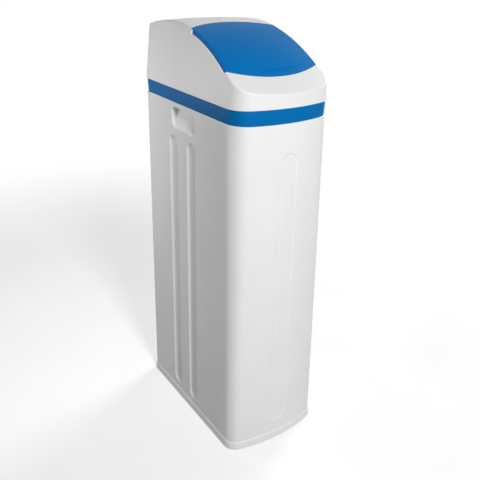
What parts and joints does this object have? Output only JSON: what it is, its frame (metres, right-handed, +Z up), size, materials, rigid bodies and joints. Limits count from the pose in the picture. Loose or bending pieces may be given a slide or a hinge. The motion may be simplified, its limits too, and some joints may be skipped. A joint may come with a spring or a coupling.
{
  "type": "water softener",
  "caption": "Upright cabinet water softener with a domed hood, hinged salt lid, resin tank, control valve, rear bypass and brine well.",
  "frame": {"origin": "on the floor under the middle of the cabinet, centred between its sides and its front and back", "axes": "+Z up; the bowed front faces -Y; the pipe connections leave along +Y; the inlet is on the +X side"},
  "size_m": [0.2986, 0.5689, 1.1305],
  "materials": {
    "cabinet_white": "fine satin",
    "hood_white": "satin",
    "band_blue": "satin",
    "lid_blue": "satin",
    "grid_grey": "matt",
    "panel_grey": "satin",
    "display_pale": "gloss",
    "key_dark": "matt",
    "board_green": "satin",
    "black_plastic": "satin",
    "tank_shell": "wound glass fibre, gloss",
    "boot_black": "matt",
    "resin_amber": "granular",
    "pipe_white": "satin",
    "strainer_grey": "matt",
    "seal_rubber": "matt",
    "piston_polymer": "polished",
    "gear_white": "satin",
    "motor_steel": "zinc plated",
    "screw_steel": "plated",
    "knob_grey": "matt",
    "handle_blue": "matt",
    "well_grey": "satin",
    "float_foam": "matt",
    "rod_steel": "drawn"
  },
  "bodies": {
    "softener": {"cabinet_body": "cabinet_white", "trim_band": "band_blue", "salt_grid": "grid_grey", "control_panel": "panel_grey", "control_head": "black_plastic", "display": "display_pale", "display_board": "board_green", "key_switches": "black_plastic", "power_jack": "black_plastic", "head_screws": "screw_steel", "resin_tank": "tank_shell", "tank_boot": "boot_black", "resin_bed": "resin_amber", "riser_tube": "pipe_white", "bottom_strainer": "strainer_grey", "top_strainer": "strainer_grey", "neck_seal": "seal_rubber", "valve_body": "black_plastic", "stack_spacers": "gear_white", "stack_seals": "seal_rubber", "stack_retainer": "black_plastic", "drive_motor": "motor_steel", "drive_bracket": "knob_grey", "gear_cover": "knob_grey", "cover_screws": "screw_steel", "injector_nozzle": "gear_white", "injector_cap": "black_plastic", "drain_elbow": "black_plastic", "brine_elbow": "black_plastic", "turbine_cage": "gear_white", "coupling_nuts": "black_plastic", "port_seals": "seal_rubber", "bypass_body": "black_plastic", "brine_well": "well_grey", "safety_valve": "pipe_white", "brine_riser": "pipe_white", "rod_guide": "pipe_white", "air_check": "pipe_white", "brine_tube": "pipe_white", "brine_tube_nut": "pipe_white", "overflow_elbow": "pipe_white", "overflow_nut": "pipe_white"},
    "hood": {"hood": "hood_white"},
    "salt_lid": {"salt_lid": "lid_blue"},
    "left_key": {"left_key": "key_dark"},
    "inner_left_key": {"inner_left_key": "key_dark"},
    "inner_right_key": {"inner_right_key": "key_dark"},
    "right_key": {"right_key": "key_dark"},
    "piston": {"piston": "piston_polymer"},
    "main_gear": {"main_gear": "gear_white"},
    "idler_gear": {"idler_gear": "gear_white"},
    "motor_pinion": {"motor_pinion": "motor_steel"},
    "mixing_knob": {"mixing_knob": "knob_grey"},
    "meter_turbine": {"meter_turbine": "strainer_grey"},
    "inlet_bypass_handle": {"inlet_bypass_handle": "handle_blue"},
    "outlet_bypass_handle": {"outlet_bypass_handle": "handle_blue"},
    "well_cap": {"well_cap": "well_grey"},
    "float": {"float_cup": "float_foam", "float_rod": "rod_steel"},
    "air_check_ball": {"air_check_ball": "float_foam"}
  },
  "joints": [
    {"name": "hood_lift", "type": "slide", "parent": "softener", "child": "hood", "axis": [0, 0, 1], "range_m": [0, 0.18]},
    {"name": "lid_hinge", "type": "hinge", "parent": "hood", "child": "salt_lid", "pos_m": [0, -0.001, 1.11109], "axis": [-1, 0, 0], "range_deg": [0, 100]},
    {"name": "main_gear_turn", "type": "hinge", "parent": "softener", "child": "main_gear", "pos_m": [0, 0.05, 1.048], "axis": [0, 1, 0], "range_deg": [0, 720]},
    {"name": "piston_stroke", "type": "slide", "parent": "softener", "child": "piston", "axis": [0, 1, 0], "range_m": [0, 0.036]},
    {"name": "idler_turn", "type": "hinge", "parent": "softener", "child": "idler_gear", "pos_m": [0.02005, 0.045, 1.0241], "axis": [0, 1, 0], "range_deg": [-2400, 0]},
    {"name": "motor_turn", "type": "hinge", "parent": "softener", "child": "motor_pinion", "pos_m": [0.04525, 0.041, 1.0241], "axis": [0, 1, 0], "range_deg": [0, 6000]},
    {"name": "mixing_turn", "type": "hinge", "parent": "softener", "child": "mixing_knob", "pos_m": [0.06, 0.142, 1.003], "axis": [1, 0, 0], "range_deg": [0, 270]},
    {"name": "turbine_spin", "type": "hinge", "parent": "softener", "child": "meter_turbine", "pos_m": [-0.027, 0.195, 1.003], "axis": [0, 1, 0], "continuous": true},
    {"name": "inlet_bypass_turn", "type": "hinge", "parent": "softener", "child": "inlet_bypass_handle", "pos_m": [0.027, 0.275, 1.003], "axis": [0, 0, 1], "range_deg": [0, 90]},
    {"name": "outlet_bypass_turn", "type": "hinge", "parent": "softener", "child": "outlet_bypass_handle", "pos_m": [-0.027, 0.275, 1.003], "axis": [0, 0, -1], "range_deg": [0, 90]},
    {"name": "well_cap_lift", "type": "slide", "parent": "softener", "child": "well_cap", "axis": [0, 0, 1], "range_m": [0, 0.04]},
    {"name": "float_rise", "type": "slide", "parent": "softener", "child": "float", "axis": [0, 0, 1], "range_m": [0, 0.025]},
    {"name": "ball_rise", "type": "slide", "parent": "softener", "child": "air_check_ball", "axis": [0, 0, 1], "range_m": [0, 0.022]},
    {"name": "left_key_press", "type": "slide", "parent": "softener", "child": "left_key", "axis": [0, -0.1733, -0.9849], "range_m": [0, 0.001], "stiffness_N_per_m": 500, "springref_m": -0.0005},
    {"name": "inner_left_key_press", "type": "slide", "parent": "softener", "child": "inner_left_key", "axis": [0, -0.1733, -0.9849], "range_m": [0, 0.001], "stiffness_N_per_m": 500, "springref_m": -0.0005},
    {"name": "inner_right_key_press", "type": "slide", "parent": "softener", "child": "inner_right_key", "axis": [0, -0.1733, -0.9849], "range_m": [0, 0.001], "stiffness_N_per_m": 500, "springref_m": -0.0005},
    {"name": "right_key_press", "type": "slide", "parent": "softener", "child": "right_key", "axis": [0, -0.1733, -0.9849], "range_m": [0, 0.001], "stiffness_N_per_m": 500, "springref_m": -0.0005}
  ],
  "couplings": [
    {"joint": "piston_stroke", "follows": "main_gear_turn", "m_per_rad": 0.0028647},
    {"joint": "idler_turn", "follows": "main_gear_turn", "ratio": -3.3333},
    {"joint": "motor_turn", "follows": "main_gear_turn", "ratio": 8.3333}
  ]
}
